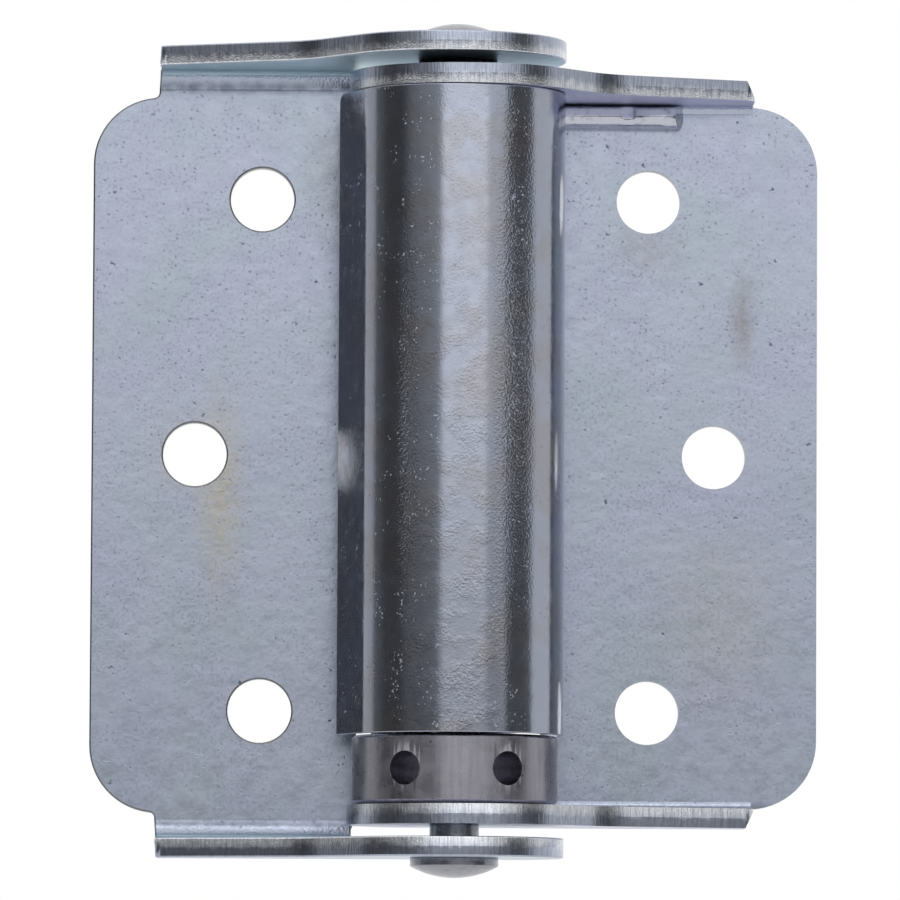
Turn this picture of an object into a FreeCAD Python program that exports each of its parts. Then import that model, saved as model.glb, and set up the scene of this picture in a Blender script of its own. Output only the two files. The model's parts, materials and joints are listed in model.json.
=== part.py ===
"""Spring loaded door hinge: two bent sheet leaves on a riveted pin, a torsion spring
in a rolled cover between their ears, and a collar that winds the spring.

Lengths are millimetres. Each piece is drawn about the pin's axis, with X towards the
door's leaf, Y towards the wall and Z up the pin from mid-height. Its Placement then sets
the frame's origin at the centre of the frame leaf's screw column, on that leaf's back.
"""

import FreeCAD, Part
import math
import os
import Sketcher
from FreeCAD import Vector

DRIVING = {
    # leaves
    "leaf_sheet": 2.4,
    "leaf_reach": 44.45,
    "outer_leaf_height": 87.8,
    "inner_leaf_height": 86.2,
    "leaf_corner": 8.2,
    "leaf_front": 12.2,
    "leaf_inner_edge": 12.4,
    "outer_bend_radius": 2.4,
    "inner_bend_radius": 1.0,
    "inner_ear_span": 86.4,
    "ear_gap": 1.5,
    # outline of the ears, seen along the pin
    "lobe_radius": 13.2,
    "inner_lobe_radius": 13.1,
    "lobe_flat": 1.8,
    "shoulder_angle": 48.0,
    "ear_taper": 20.0,
    "ear_end_rise": 7.0,
    "ear_hollow": 12.0,
    "ear_end_round": 1.5,
    "ear_root_round": 0.8,
    "ear_end_overlap": 0.2,
    "outer_ear_lean": 0.3,
    "inner_ear_lean": 1.0,
    "outer_neck_round": 0.7,
    "inner_neck_round": 0.4,
    # screw holes
    "screw_hole": 7.8,
    "screw_column": 23.7,
    "screw_spacing": 62.8,
    "middle_screw_column": 31.8,
    # pin and washer
    "pin_diameter": 6.0,
    "press_clearance": 0.02,
    "pin_clearance": 0.06,
    "head_diameter": 10.7,
    "head_rim": 1.0,
    "head_dome": 1.4,
    "peen_rim": 0.7,
    "peen_dome": 1.5,
    "washer_diameter": 9.6,
    "washer_clearance": 0.15,
    # collar
    "collar_diameter": 24.9,
    "collar_height": 8.3,
    "collar_clearance": 0.1,
    "collar_edge": 0.4,
    "rod_hole": 4.1,
    "rod_hole_depth": 7.0,
    "rod_hole_count": 6,
    "tang_hole_clearance": 0.1,
    "tang_depth": 4.0,
    "tang_inset": 0.6,
    "tang_bend": 1.6,
    # spring
    "wire": 2.85,
    "coil_gap": 0.25,
    "leg_ear_gap": 0.05,
    "leg_clearance": 0.1,
    "leg_reach": 27.95,
    "leg_end_bevel": 1.1,
    "notch_inset": 6.9,
    "notch_width": 1.9,
    "notch_depth": 0.4,
    # cover
    "cover_sheet": 0.8,
    "cover_clearance": 0.2,
    "cover_end_gap": 0.1,
    "cover_edge_angle": 122.0,
    "lip_angle": 60.0,
    "lip_length": 6.0,
    "lip_round": 1.2,
}

# How far a cut is drawn past the material that it removes.
CUT_MARGIN = 4.0
# The number of flats that stand for the round wire along the hidden coil.
COIL_FLATS = 8

doc = FreeCAD.newDocument("DoorSpringHinge")
sheet = doc.addObject("Spreadsheet::Sheet", "Dimensions")
for row, (alias, number) in enumerate(DRIVING.items(), start=1):
    sheet.set(f"A{row}", alias.replace("_", " "))
    sheet.set(f"B{row}", str(number))
    sheet.setAlias(f"B{row}", alias)
doc.recompute()


class Size:
    """A number together with the expression over the sheet's cells that gives it."""

    def __init__(self, number, words):
        self.number = float(number)
        self.words = words

    @staticmethod
    def of(other):
        return other if isinstance(other, Size) else Size(other, repr(float(other)))

    def __add__(self, other):
        other = Size.of(other)
        return Size(self.number + other.number, f"({self.words} + {other.words})")

    def __sub__(self, other):
        other = Size.of(other)
        return Size(self.number - other.number, f"({self.words} - {other.words})")

    def __mul__(self, other):
        other = Size.of(other)
        return Size(self.number * other.number, f"({self.words} * {other.words})")

    def __truediv__(self, other):
        other = Size.of(other)
        return Size(self.number / other.number, f"({self.words} / {other.words})")

    def __neg__(self):
        return Size(-self.number, f"(0 - {self.words})")

    __radd__ = __add__
    __rmul__ = __mul__


def cell(alias):
    return Size(DRIVING[alias], f"Dimensions.{alias}")


def sine(angle):
    return Size(math.sin(math.radians(angle.number)), f"sin({angle.words})")


def cosine(angle):
    return Size(math.cos(math.radians(angle.number)), f"cos({angle.words})")


def root(area):
    return Size(math.sqrt(area.number), f"sqrt({area.words})")


def set_size(item, prop, size):
    """Binds a property of a feature to the sheet."""
    setattr(item, prop, size.number)
    item.setExpression(prop, size.words)


def make_body(label):
    body = doc.addObject("PartDesign::Body", label)
    body.Label = label
    return body


def make_sketch(body, name, plane):
    sketch = body.newObject("Sketcher::SketchObject", name)
    origin = [item for item in body.Origin.OriginFeatures if item.Role == plane][0]
    sketch.AttachmentSupport = [(origin, "")]
    sketch.MapMode = "FlatFace"
    return sketch


def hold(sketch, constraint, size):
    """Adds a dimension to a sketch and binds it to the sheet."""
    index = sketch.addConstraint(constraint)
    sketch.setExpression(f"Constraints[{index}]", size.words)


def pin_point(sketch, edge, end, across, up):
    """Fixes a point of an edge by its two distances from the sketch's origin."""
    hold(sketch, Sketcher.Constraint("DistanceX", -1, 1, edge, end, across.number), across)
    hold(sketch, Sketcher.Constraint("DistanceY", -1, 1, edge, end, up.number), up)


def draw_loop(sketch, corners):
    """Draws a closed outline.

    Each corner is (across, up) or (across, up, radius): a radius makes the edge that
    leaves the corner an arc, to the left of the way round if positive.
    """
    points = [(Size.of(corner[0]), Size.of(corner[1])) for corner in corners]
    edges = []
    for number, corner in enumerate(corners):
        start = Vector(points[number][0].number, points[number][1].number, 0)
        following = points[(number + 1) % len(points)]
        end = Vector(following[0].number, following[1].number, 0)
        if len(corner) == 2:
            edges.append(sketch.addGeometry(Part.LineSegment(start, end), False))
            continue
        radius = corner[2]
        half_chord = (end - start).multiply(0.5)
        rise = math.sqrt(max(radius.number**2 - half_chord.Length**2, 0.0))
        side = Vector(-half_chord.y, half_chord.x, 0).normalize()
        turn = 1.0 if radius.number > 0 else -1.0
        centre = start + half_chord + side * (turn * rise)
        middle = centre - side * (turn * abs(radius.number))
        edges.append(sketch.addGeometry(Part.Arc(start, middle, end), False))
    # An arc is stored anticlockwise, so one that turns right runs from its end to its start.
    heads = []
    for number, corner in enumerate(corners):
        backwards = len(corner) == 3 and corner[2].number < 0
        heads.append((2, 1) if backwards else (1, 2))
    for number, corner in enumerate(corners):
        following = (number + 1) % len(corners)
        sketch.addConstraint(
            Sketcher.Constraint(
                "Coincident", edges[number], heads[number][1], edges[following], heads[following][0]
            )
        )
        pin_point(sketch, edges[number], heads[number][0], *points[number])
        if len(corner) == 3:
            radius = corner[2] if corner[2].number > 0 else -corner[2]
            hold(sketch, Sketcher.Constraint("Radius", edges[number], radius.number), radius)
    return edges


def draw_circle(sketch, across, up, diameter):
    across, up = Size.of(across), Size.of(up)
    centre = Vector(across.number, up.number, 0)
    circle = Part.Circle(centre, Vector(0, 0, 1), diameter.number / 2)
    edge = sketch.addGeometry(circle, False)
    pin_point(sketch, edge, 3, across, up)
    hold(sketch, Sketcher.Constraint("Diameter", edge, diameter.number), diameter)


def add_pad(body, name, sketch, length, both_ways=False):
    pad = body.newObject("PartDesign::Pad", name)
    pad.Profile = sketch
    set_size(pad, "Length", length)
    pad.Midplane = both_ways
    doc.recompute()
    return pad


def add_pocket(body, name, sketch, length, both_ways=False, reverse=False):
    """Cuts a pocket and makes sure that it took material away."""
    before = body.Shape.Volume
    pocket = body.newObject("PartDesign::Pocket", name)
    pocket.Profile = sketch
    set_size(pocket, "Length", length)
    pocket.Midplane = both_ways
    pocket.Reversed = reverse
    doc.recompute()
    if body.Shape.Volume >= before - 1e-6:
        raise RuntimeError(f"{name} cuts nothing")
    return pocket


def round_edges(body, name, base, edges, radius):
    fillet = body.newObject("PartDesign::Fillet", name)
    fillet.Base = (base, edges)
    set_size(fillet, "Radius", radius)
    doc.recompute()
    return fillet


def edges_where(shape, test):
    return [f"Edge{number}" for number, edge in enumerate(shape.Edges, start=1) if test(edge)]


def upright_edges(shape, across, back):
    """The edges along Z that stand at one place in plan."""

    def stands_there(edge):
        low, high = edge.BoundBox, edge.BoundBox
        thin = low.XLength < 1e-4 and low.YLength < 1e-4
        return thin and abs(high.XMax - across.number) < 1e-3 and abs(high.YMax - back.number) < 1e-3

    return edges_where(shape, stands_there)


sheet_thickness = cell("leaf_sheet")
leaf_back = cell("leaf_front") + sheet_thickness
inner_ear_inside = cell("inner_ear_span") / 2
inner_ear_outside = inner_ear_inside + sheet_thickness
outer_ear_inside = inner_ear_outside + cell("ear_gap")
outer_ear_outside = outer_ear_inside + sheet_thickness
pin_radius = cell("pin_diameter") / 2
coil_outside = cell("leaf_front") - cell("leg_clearance")
coil_radius = coil_outside - cell("wire") / 2
collar_bottom = -(inner_ear_inside - cell("collar_clearance"))
collar_top = collar_bottom + cell("collar_height")
leg_level = inner_ear_inside - cell("leg_ear_gap") - cell("wire") / 2


def place_on_pin(body, turned_over=False):
    """Moves a finished piece from the pin's axis into the part's frame."""
    if turned_over:
        body.Placement = FreeCAD.Placement(Vector(0, 0, 0), FreeCAD.Rotation(Vector(0, 1, 0), 180))
    body.setExpression("Placement.Base.x", cell("screw_column").words)
    body.setExpression("Placement.Base.y", (-leaf_back).words)
    doc.recompute()


def make_leaf(label, height, lobe, lean, ear_inside, bend, neck, hole_clearance):
    """One leaf, bent from one sheet, as it stands on the door's side of the pin."""
    body = make_body(label)
    half_leaf = height / 2
    corner_radius = cell("leaf_corner")
    overlap = cell("ear_end_overlap")
    reach = cell("leaf_reach") - corner_radius + overlap
    bend_line = cell("leaf_front") - bend
    ear_outside = ear_inside + sheet_thickness
    angle = cell("shoulder_angle")
    taper = cell("ear_taper")
    tip_back = cell("leaf_front") - cell("ear_end_rise")

    # Where the lobe meets the shoulder, and where the shoulder meets the tapering flange.
    shoulder_x = cell("lobe_flat") + lobe * sine(angle)
    shoulder_y = -(lobe * cosine(angle))
    shoulder_slope = sine(angle) / cosine(angle)
    taper_slope = sine(taper) / cosine(taper)
    hollow_x = (
        tip_back - taper_slope * reach - shoulder_y + shoulder_slope * shoulder_x
    ) / (shoulder_slope - taper_slope)
    hollow_y = shoulder_y + shoulder_slope * (hollow_x - shoulder_x)
    lobe_end = -root(lobe * lobe - bend_line * bend_line)

    plan = make_sketch(body, f"{label}_plan", "XY_Plane")
    draw_loop(
        plan,
        [
            (lobe_end, bend_line, lobe),
            (-lobe, 0, lobe),
            (0, -lobe),
            (cell("lobe_flat"), -lobe, lobe),
            (shoulder_x, shoulder_y),
            (hollow_x, hollow_y),
            (reach, tip_back),
            (reach, cell("leaf_front")),
            (cell("leaf_reach"), cell("leaf_front")),
            (cell("leaf_reach"), leaf_back),
            (cell("leaf_inner_edge"), leaf_back),
            (cell("leaf_inner_edge"), bend_line),
        ],
    )
    draw_circle(plan, 0, 0, cell("pin_diameter") + hole_clearance * 2)
    blank = add_pad(body, f"{label}_blank", plan, ear_outside * 2, both_ways=True)
    hollow = upright_edges(blank.Shape, hollow_x, hollow_y)
    softened = round_edges(body, f"{label}_ear_hollow", blank, hollow, cell("ear_hollow"))
    corner = upright_edges(softened.Shape, reach, tip_back)
    ended = round_edges(body, f"{label}_ear_end", softened, corner, cell("ear_end_round"))
    root_corner = upright_edges(ended.Shape, cell("leaf_inner_edge"), bend_line)
    round_edges(body, f"{label}_ear_root", ended, root_corner, cell("ear_root_round"))

    # The bends: the channel between the ears, and the two outer corners.
    outer_bend = bend + sheet_thickness
    front = -(lobe + CUT_MARGIN)
    section = make_sketch(body, f"{label}_section", "YZ_Plane")
    draw_loop(
        section,
        [
            (front, -ear_inside),
            (bend_line, -ear_inside, bend),
            (cell("leaf_front"), bend - ear_inside),
            (cell("leaf_front"), ear_inside - bend, bend),
            (bend_line, ear_inside),
            (front, ear_inside),
        ],
    )
    for side in (-1, 1):
        corner_loop = [
            (bend_line, ear_outside * side, outer_bend * -side),
            (leaf_back, (ear_outside - outer_bend) * side),
            (leaf_back + CUT_MARGIN, (ear_outside - outer_bend) * side),
            (leaf_back + CUT_MARGIN, (ear_outside + CUT_MARGIN) * side),
            (bend_line, (ear_outside + CUT_MARGIN) * side),
        ]
        draw_loop(section, corner_loop)
    whole_width = (cell("leaf_reach") + lobe + CUT_MARGIN) * 2
    add_pocket(body, f"{label}_bends", section, whole_width, both_ways=True)

    # The wing's corners, the rounded neck beside each ear, and the screw holes.
    face = make_sketch(body, f"{label}_face", "XZ_Plane")
    wing_edge = cell("leaf_reach")
    corner_level = half_leaf - corner_radius
    across = overlap + neck
    span = corner_radius + neck
    rise = root(span * span - across * across)
    meeting_x = wing_edge - corner_radius + corner_radius * across / span
    meeting_level = corner_level + corner_radius * rise / span
    for side in (-1, 1):
        loop = [
            (wing_edge, corner_level * side, corner_radius * side),
            (meeting_x, meeting_level * side, neck * -side),
            (reach, (corner_level + rise) * side),
            (reach - lean, ear_outside * side),
            (reach - lean, (ear_outside + CUT_MARGIN) * side),
            (wing_edge + CUT_MARGIN, (ear_outside + CUT_MARGIN) * side),
            (wing_edge + CUT_MARGIN, corner_level * side),
        ]
        draw_loop(face, loop)
    half_spacing = cell("screw_spacing") / 2
    draw_circle(face, cell("screw_column"), half_spacing, cell("screw_hole"))
    draw_circle(face, cell("screw_column"), -half_spacing, cell("screw_hole"))
    draw_circle(face, cell("middle_screw_column"), 0, cell("screw_hole"))
    whole_depth = (leaf_back + CUT_MARGIN) * 2
    add_pocket(body, f"{label}_outline", face, whole_depth, both_ways=True)
    return body


def make_pin():
    """The pin: a headed rod, domed over above the upper ear."""
    body = make_body("hinge_pin")
    head = cell("head_diameter") / 2
    dome = cell("head_dome")
    peen = cell("peen_dome")
    head_top = -outer_ear_outside
    head_bottom = head_top - cell("head_rim")
    peen_bottom = outer_ear_outside
    peen_edge = peen_bottom + cell("peen_rim")
    half = make_sketch(body, "hinge_pin_profile", "XZ_Plane")
    draw_loop(
        half,
        [
            (0, head_bottom - dome, (head * head + dome * dome) / (dome * 2)),
            (head, head_bottom),
            (head, head_top),
            (pin_radius, head_top),
            (pin_radius, peen_bottom),
            (head, peen_bottom),
            (head, peen_edge, (head * head + peen * peen) / (peen * 2)),
            (0, peen_edge + peen),
        ],
    )
    turned = body.newObject("PartDesign::Revolution", "hinge_pin_turned")
    turned.Profile = half
    turned.ReferenceAxis = (half, ["V_Axis"])
    turned.Angle = 360.0
    doc.recompute()
    return body


def make_washer():
    """The washer between the two upper ears, up against the outer one."""
    body = make_body("ear_washer")
    ring = make_sketch(body, "ear_washer_ring", "XY_Plane")
    level = outer_ear_inside
    ring.setExpression("AttachmentOffset.Base.z", level.words)
    draw_circle(ring, 0, 0, cell("washer_diameter"))
    draw_circle(ring, 0, 0, cell("pin_diameter") + cell("pin_clearance") * 2)
    thickness = cell("ear_gap") - cell("washer_clearance")
    pad = add_pad(body, "ear_washer_blank", ring, thickness)
    pad.Reversed = True
    doc.recompute()
    return body


def make_collar():
    """The collar that winds the spring, with its ring of holes for a rod."""
    body = make_body("tension_collar")
    disc = make_sketch(body, "tension_collar_disc", "XY_Plane")
    disc.setExpression("AttachmentOffset.Base.z", collar_bottom.words)
    draw_circle(disc, 0, 0, cell("collar_diameter"))
    draw_circle(disc, 0, 0, cell("pin_diameter") + cell("pin_clearance") * 2)
    blank = add_pad(body, "tension_collar_blank", disc, cell("collar_height"))
    rim = cell("collar_diameter").number / 2

    def is_rim(edge):
        return hasattr(edge.Curve, "Radius") and abs(edge.Curve.Radius - rim) < 1e-3

    chamfer = body.newObject("PartDesign::Chamfer", "tension_collar_edges")
    chamfer.Base = (blank, edges_where(blank.Shape, is_rim))
    set_size(chamfer, "Size", cell("collar_edge"))
    doc.recompute()

    # The spring's tang goes into the top, a sixth of a turn from the rod holes' middle line.
    tang = make_sketch(body, "tension_collar_tang", "XY_Plane")
    tang.setExpression("AttachmentOffset.Base.z", collar_top.words)
    draw_circle(tang, *tang_place(), cell("wire") + cell("tang_hole_clearance") * 2)
    add_pocket(body, "tension_collar_tang_hole", tang, cell("tang_depth") + cell("coil_gap"))

    hole = make_sketch(body, "tension_collar_rod", "YZ_Plane")
    rim_x = cell("collar_diameter") / 2
    hole.setExpression("AttachmentOffset.Base.z", rim_x.words)
    draw_circle(hole, 0, (collar_bottom + collar_top) / 2, cell("rod_hole"))
    pocket = add_pocket(body, "tension_collar_rod_hole", hole, cell("rod_hole_depth"))
    ring = body.newObject("PartDesign::PolarPattern", "tension_collar_rod_holes")
    ring.Originals = [pocket]
    ring.Axis = (disc, ["N_Axis"])
    ring.Angle = 360.0
    ring.Occurrences = int(DRIVING["rod_hole_count"])
    ring.setExpression("Occurrences", "Dimensions.rod_hole_count")
    body.Tip = ring
    doc.recompute()
    return body


def tang_place():
    """The tang's centre in plan, between two rod holes and a little inside the coil's line."""
    angle = Size.of(180) - Size.of(180) / cell("rod_hole_count")
    radius = coil_radius - cell("tang_inset")
    return radius * cosine(angle), radius * sine(angle)


def coil_path(start_x, coil_bottom):
    """The line that the wire follows from the foot of its leg down into the collar.

    Each turn is two half circles, tipped so that their ends lie half a pitch apart. They
    meet at the back and the front, where both run level. The tail is a tighter level arc,
    and the wire then bends down into the tang.
    """
    radius = coil_radius.number
    wire = DRIVING["wire"]
    drop = leg_level.number - coil_bottom.number
    turns = math.floor(drop / (wire + DRIVING["coil_gap"]))
    pitch = drop / turns
    side = math.hypot(radius, pitch / 4)
    start = Vector(start_x.number, radius, leg_level.number)
    level = leg_level.number
    edges = [Part.LineSegment(start, Vector(0, radius, level))]
    for _ in range(turns):
        back = Vector(0, radius, level)
        front = Vector(0, -radius, level - pitch / 2)
        edges.append(Part.Arc(back, Vector(-side, 0, level - pitch / 4), front))
        level -= pitch
        edges.append(Part.Arc(front, Vector(side, 0, level + pitch / 4), Vector(0, radius, level)))

    # The tail's radius and turn bring the end of the bend straight above the tang's hole.
    bend = DRIVING["tang_bend"]
    tang_x, tang_y = (place.number for place in tang_place())
    ahead, inward = -tang_x, radius - tang_y
    tail_radius = (ahead**2 + inward**2 - bend**2) / (inward * 2)
    turn = math.atan2(ahead, tail_radius - inward) - math.atan2(bend, tail_radius)

    def on_tail(angle):
        across = -tail_radius * math.sin(angle)
        return Vector(across, radius - tail_radius * (1 - math.cos(angle)), level)

    edges.append(Part.Arc(on_tail(0), on_tail(turn / 2), on_tail(turn)))
    forward = Vector(-math.cos(turn), -math.sin(turn), 0)
    bend_centre = on_tail(turn) - Vector(0, 0, bend)
    slanted = (forward + Vector(0, 0, 1)).normalize() * bend
    top = bend_centre + forward * bend
    foot = Vector(top.x, top.y, collar_top.number - DRIVING["tang_depth"])
    edges.append(Part.Arc(on_tail(turn), bend_centre + slanted, top))
    edges.append(Part.LineSegment(top, foot))
    return Part.Wire([edge.toShape() for edge in edges])


def make_spring():
    """The spring: a close coil whose upper end runs out along the door's leaf."""
    body = make_body("torsion_spring")
    wire = cell("wire")
    coil_bottom = collar_top + cell("coil_gap") + wire / 2
    path = doc.addObject("Part::Feature", "torsion_spring_path")
    path.Shape = coil_path(wire, coil_bottom)
    flats = make_sketch(body, "torsion_spring_wire", "YZ_Plane")
    flats.setExpression("AttachmentOffset.Base.z", wire.words)
    corners = []
    for number in range(COIL_FLATS):
        angle = Size.of(360 / COIL_FLATS * (number + 0.5))
        corners.append((coil_radius + cosine(angle) * wire / 2, leg_level + sine(angle) * wire / 2))
    draw_loop(flats, corners)
    coil = body.newObject("PartDesign::AdditivePipe", "torsion_spring_coil")
    coil.Profile = flats
    coil.Spine = (path, [f"Edge{number + 1}" for number in range(len(path.Shape.Edges))])
    coil.Mode = "Standard"
    doc.recompute()

    # The leg runs straight out from the coil, and its end is sheared at a slant.
    front = coil_outside - wire
    reach = cell("leg_reach")
    bevel = cell("leg_end_bevel")
    end = make_sketch(body, "torsion_spring_leg_section", "YZ_Plane")
    draw_circle(end, coil_radius, leg_level, wire)
    add_pad(body, "torsion_spring_leg", end, reach + CUT_MARGIN)
    shear = make_sketch(body, "torsion_spring_shear", "XY_Plane")
    shear.setExpression("AttachmentOffset.Base.z", leg_level.words)
    draw_loop(
        shear,
        [
            (reach - bevel * 2, front - wire),
            (reach + CUT_MARGIN * 2, front - wire),
            (reach + CUT_MARGIN * 2, coil_outside + wire),
            (reach + bevel, coil_outside + wire),
        ],
    )
    add_pocket(body, "torsion_spring_end", shear, wire * 2, both_ways=True)
    notch = make_sketch(body, "torsion_spring_nick", "XY_Plane")
    notch.setExpression("AttachmentOffset.Base.z", (leg_level - wire / 6).words)
    notch_start = reach - cell("notch_inset") - cell("notch_width") / 2
    notch_end = notch_start + cell("notch_width")
    draw_loop(
        notch,
        [
            (notch_start, front - CUT_MARGIN),
            (notch_end, front - CUT_MARGIN),
            (notch_end, front + cell("notch_depth")),
            (notch_start, front + cell("notch_depth")),
        ],
    )
    add_pocket(body, "torsion_spring_notch", notch, wire, reverse=True)
    return body


def make_cover():
    """The cover: thin sheet rolled round the coil, with one edge left as a straight lip."""
    body = make_body("spring_cover")
    thickness = cell("cover_sheet")
    inside = coil_outside + cell("cover_clearance")
    outside = inside + thickness
    edge = cell("cover_edge_angle")
    lip = cell("lip_angle")
    lip_start = (-(outside * sine(lip)), -(outside * cosine(lip)))
    lip_inside = (-(inside * sine(lip)), -(inside * cosine(lip)))
    run_x = -(cell("lip_length") * cosine(lip))
    run_y = cell("lip_length") * sine(lip)
    roll = make_sketch(body, "spring_cover_roll", "XY_Plane")
    bottom = collar_top + cell("cover_end_gap")
    roll.setExpression("AttachmentOffset.Base.z", bottom.words)
    draw_loop(
        roll,
        [
            (outside * sine(edge), -(outside * cosine(edge)), -outside),
            (0, -outside, -outside),
            lip_start,
            (lip_start[0] + run_x, lip_start[1] + run_y),
            (lip_inside[0] + run_x, lip_inside[1] + run_y),
            (*lip_inside, inside),
            (0, -inside, inside),
            (inside * sine(edge), -(inside * cosine(edge))),
        ],
    )
    height = inner_ear_inside - cell("cover_end_gap") - bottom
    pad = add_pad(body, "spring_cover_rolled", roll, height)
    lip_x = lip_start[0] + run_x

    def is_top_corner(edge_of_pad):
        box = edge_of_pad.BoundBox
        level = pad.Shape.BoundBox.ZMax
        return box.ZMin > level - 1e-3 and abs(box.XMin - lip_x.number) < 1e-3 and box.XLength < thickness.number

    round_edges(
        body, "spring_cover_lip_corner", pad, edges_where(pad.Shape, is_top_corner), cell("lip_round")
    )
    return body


outer_leaf = make_leaf(
    "outer_leaf",
    cell("outer_leaf_height"),
    cell("lobe_radius"),
    cell("outer_ear_lean"),
    outer_ear_inside,
    cell("outer_bend_radius"),
    cell("outer_neck_round"),
    cell("press_clearance"),
)
place_on_pin(outer_leaf, turned_over=True)
inner_leaf = make_leaf(
    "inner_leaf",
    cell("inner_leaf_height"),
    cell("inner_lobe_radius"),
    cell("inner_ear_lean"),
    inner_ear_inside,
    cell("inner_bend_radius"),
    cell("inner_neck_round"),
    cell("pin_clearance"),
)
pieces = [outer_leaf, inner_leaf, make_pin(), make_washer(), make_collar(), make_spring(), make_cover()]
for piece in pieces[1:]:
    place_on_pin(piece)

for item in doc.Objects:
    if "Invalid" in item.State or "Error" in item.State:
        raise RuntimeError(f"{item.Name} failed: {item.State}")
os.makedirs("parts", exist_ok=True)
for piece in pieces:
    shape = piece.Shape
    if shape.isNull() or not shape.isValid():
        raise RuntimeError(f"{piece.Label} has no valid shape")
    print(piece.Label, round(shape.Volume, 1), shape.BoundBox)
    shape.exportStep(f"parts/{piece.Label}.step")
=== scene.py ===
"""Dresses a spring loaded door hinge: plated leaves, cover, spring, pin and bare collar."""

import json
import math

import bmesh
import bpy
from mathutils import Matrix, Vector


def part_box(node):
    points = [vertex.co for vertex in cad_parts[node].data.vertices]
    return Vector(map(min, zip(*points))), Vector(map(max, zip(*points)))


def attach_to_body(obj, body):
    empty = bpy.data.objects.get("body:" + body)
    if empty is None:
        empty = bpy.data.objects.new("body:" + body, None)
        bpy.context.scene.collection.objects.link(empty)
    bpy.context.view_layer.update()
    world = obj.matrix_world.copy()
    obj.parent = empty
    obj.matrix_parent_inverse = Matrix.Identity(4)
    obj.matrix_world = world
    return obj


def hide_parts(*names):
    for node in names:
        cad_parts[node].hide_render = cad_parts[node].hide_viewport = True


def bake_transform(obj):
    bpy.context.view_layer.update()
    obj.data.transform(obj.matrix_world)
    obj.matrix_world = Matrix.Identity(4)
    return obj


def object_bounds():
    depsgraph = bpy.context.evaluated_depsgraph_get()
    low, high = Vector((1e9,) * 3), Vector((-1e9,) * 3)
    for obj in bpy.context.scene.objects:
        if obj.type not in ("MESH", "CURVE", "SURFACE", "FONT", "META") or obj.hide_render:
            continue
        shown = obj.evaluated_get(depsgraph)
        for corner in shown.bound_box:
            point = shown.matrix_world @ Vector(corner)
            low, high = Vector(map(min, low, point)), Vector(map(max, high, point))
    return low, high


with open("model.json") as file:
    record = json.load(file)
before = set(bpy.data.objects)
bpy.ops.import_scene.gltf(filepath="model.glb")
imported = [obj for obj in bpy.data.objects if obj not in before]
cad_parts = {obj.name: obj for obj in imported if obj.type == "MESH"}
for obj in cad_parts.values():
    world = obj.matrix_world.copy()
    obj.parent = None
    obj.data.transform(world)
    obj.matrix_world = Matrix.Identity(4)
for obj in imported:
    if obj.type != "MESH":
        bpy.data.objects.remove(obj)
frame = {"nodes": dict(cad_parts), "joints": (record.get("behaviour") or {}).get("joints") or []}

bl_info = {
    "name": "Spring Hinge Finisher",
    "version": (1, 0, 0),
    "blender": (4, 5, 0),
    "location": "3D View > Sidebar > Hinge",
    "description": "Finishes the pieces of a spring loaded door hinge and sets its studio",
    "category": "Object",
}

# The scene is in metres, and sizes are written in millimetres.
MM = 0.001
# A length far below any size of the hinge, for comparisons, and one for points that meet.
HAIR = 0.01 * MM
TOUCHING = 0.002 * MM
# Faces that turn by less than this are one flat, and edges that turn by more are rounded.
FLAT = math.radians(0.5)
SHARP = math.radians(35)
CAD_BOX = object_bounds()
SWING = next(joint for joint in frame["joints"] if joint["name"] == "leaf_swing")
PIN_AXIS = Vector((SWING["pos_m"][0], SWING["pos_m"][1], 0.0))


def from_hex(code):
    """The linear colour of an sRGB hex value, with full alpha."""
    channels = [int(code[place : place + 2], 16) / 255 for place in (0, 2, 4)]
    linear = [
        value / 12.92 if value <= 0.04045 else ((value + 0.055) / 1.055) ** 2.4
        for value in channels
    ]
    return (*linear, 1.0)


def length_property(name, description, millimetres):
    return bpy.props.FloatProperty(
        name=name, description=description, default=millimetres * MM, unit="LENGTH", precision=5
    )


def colour_property(name, description, code):
    return bpy.props.FloatVectorProperty(
        name=name, description=description, default=from_hex(code), subtype="COLOR", size=4
    )


class HingeSizes(bpy.types.PropertyGroup):
    sheet_round: length_property("Sheet edge", "Rounding of the leaves' punched edges", 0.2)
    cover_round: length_property("Cover edge", "Rounding of the cover's cut edges", 0.12)
    collar_round: length_property("Collar edge", "Rounding of the collar's rims and holes", 0.2)
    pin_round: length_property("Pin edge", "Rounding of the pin's head and peen", 0.12)
    washer_round: length_property("Washer edge", "Rounding of the washer's rims", 0.15)
    sheet: length_property("Sheet", "Thickness of the leaves", 2.4)
    wire: length_property("Wire", "Diameter of the spring's wire", 2.85)
    coil_gap: length_property("Coil gap", "Least gap between the coil's turns", 0.25)
    notch_width: length_property("Notch width", "Length of the nick in the spring's leg", 1.9)
    notch_inset: length_property("Notch inset", "From the nick to the leg's end", 6.9)
    notch_depth: length_property("Notch depth", "How far the nick goes into the wire", 0.4)
    shear_slant: length_property("Shear slant", "How far the leg's end leans over the wire", 1.1)
    pit: length_property("Pits", "Distance between the plating's dark pits", 0.75)
    glint: length_property("Glints", "Distance between the cover's bright specks", 0.33)
    streak: length_property("Streaks", "Distance between the punch's burnish marks", 0.2)


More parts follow.
